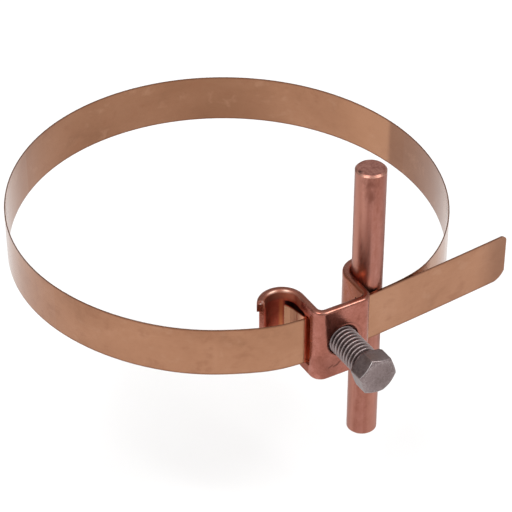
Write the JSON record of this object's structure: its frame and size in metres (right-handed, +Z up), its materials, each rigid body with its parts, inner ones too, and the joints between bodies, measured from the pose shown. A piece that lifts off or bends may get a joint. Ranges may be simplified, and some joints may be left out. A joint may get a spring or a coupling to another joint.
{
  "type": "lightning conductor holder",
  "caption": "Copper strap clamp that goes round a downpipe, with a folded clamp body, a set bolt and a curled cradle that grips a round lightning conductor.",
  "frame": {"origin": "on the axis of the strap ring, half way up the strap", "axes": "+Z up along the downpipe and the conductor; -Y from the downpipe out to the bolt head; +X to the conductor's side, where the strap's tail runs"},
  "size_m": [0.1179, 0.138, 0.083],
  "materials": {
    "clamp_body": "tumbled copper sheet",
    "strap": "satin copper strip",
    "hex_bolt": "dull stainless steel",
    "conductor_rod": "drawn copper"
  },
  "bodies": {
    "holder": {"clamp_body": "clamp_body", "strap": "strap"},
    "bolt": {"hex_bolt": "hex_bolt"},
    "conductor": {"conductor_rod": "conductor_rod"}
  },
  "joints": [
    {"name": "bolt_screw_out", "type": "slide", "parent": "holder", "child": "bolt", "axis": [0, -1, 0], "range_m": [0, 0.004]},
    {"name": "conductor_slide", "type": "slide", "parent": "holder", "child": "conductor", "axis": [0, 0, 1], "range_m": [-0.028, 0.028]}
  ]
}
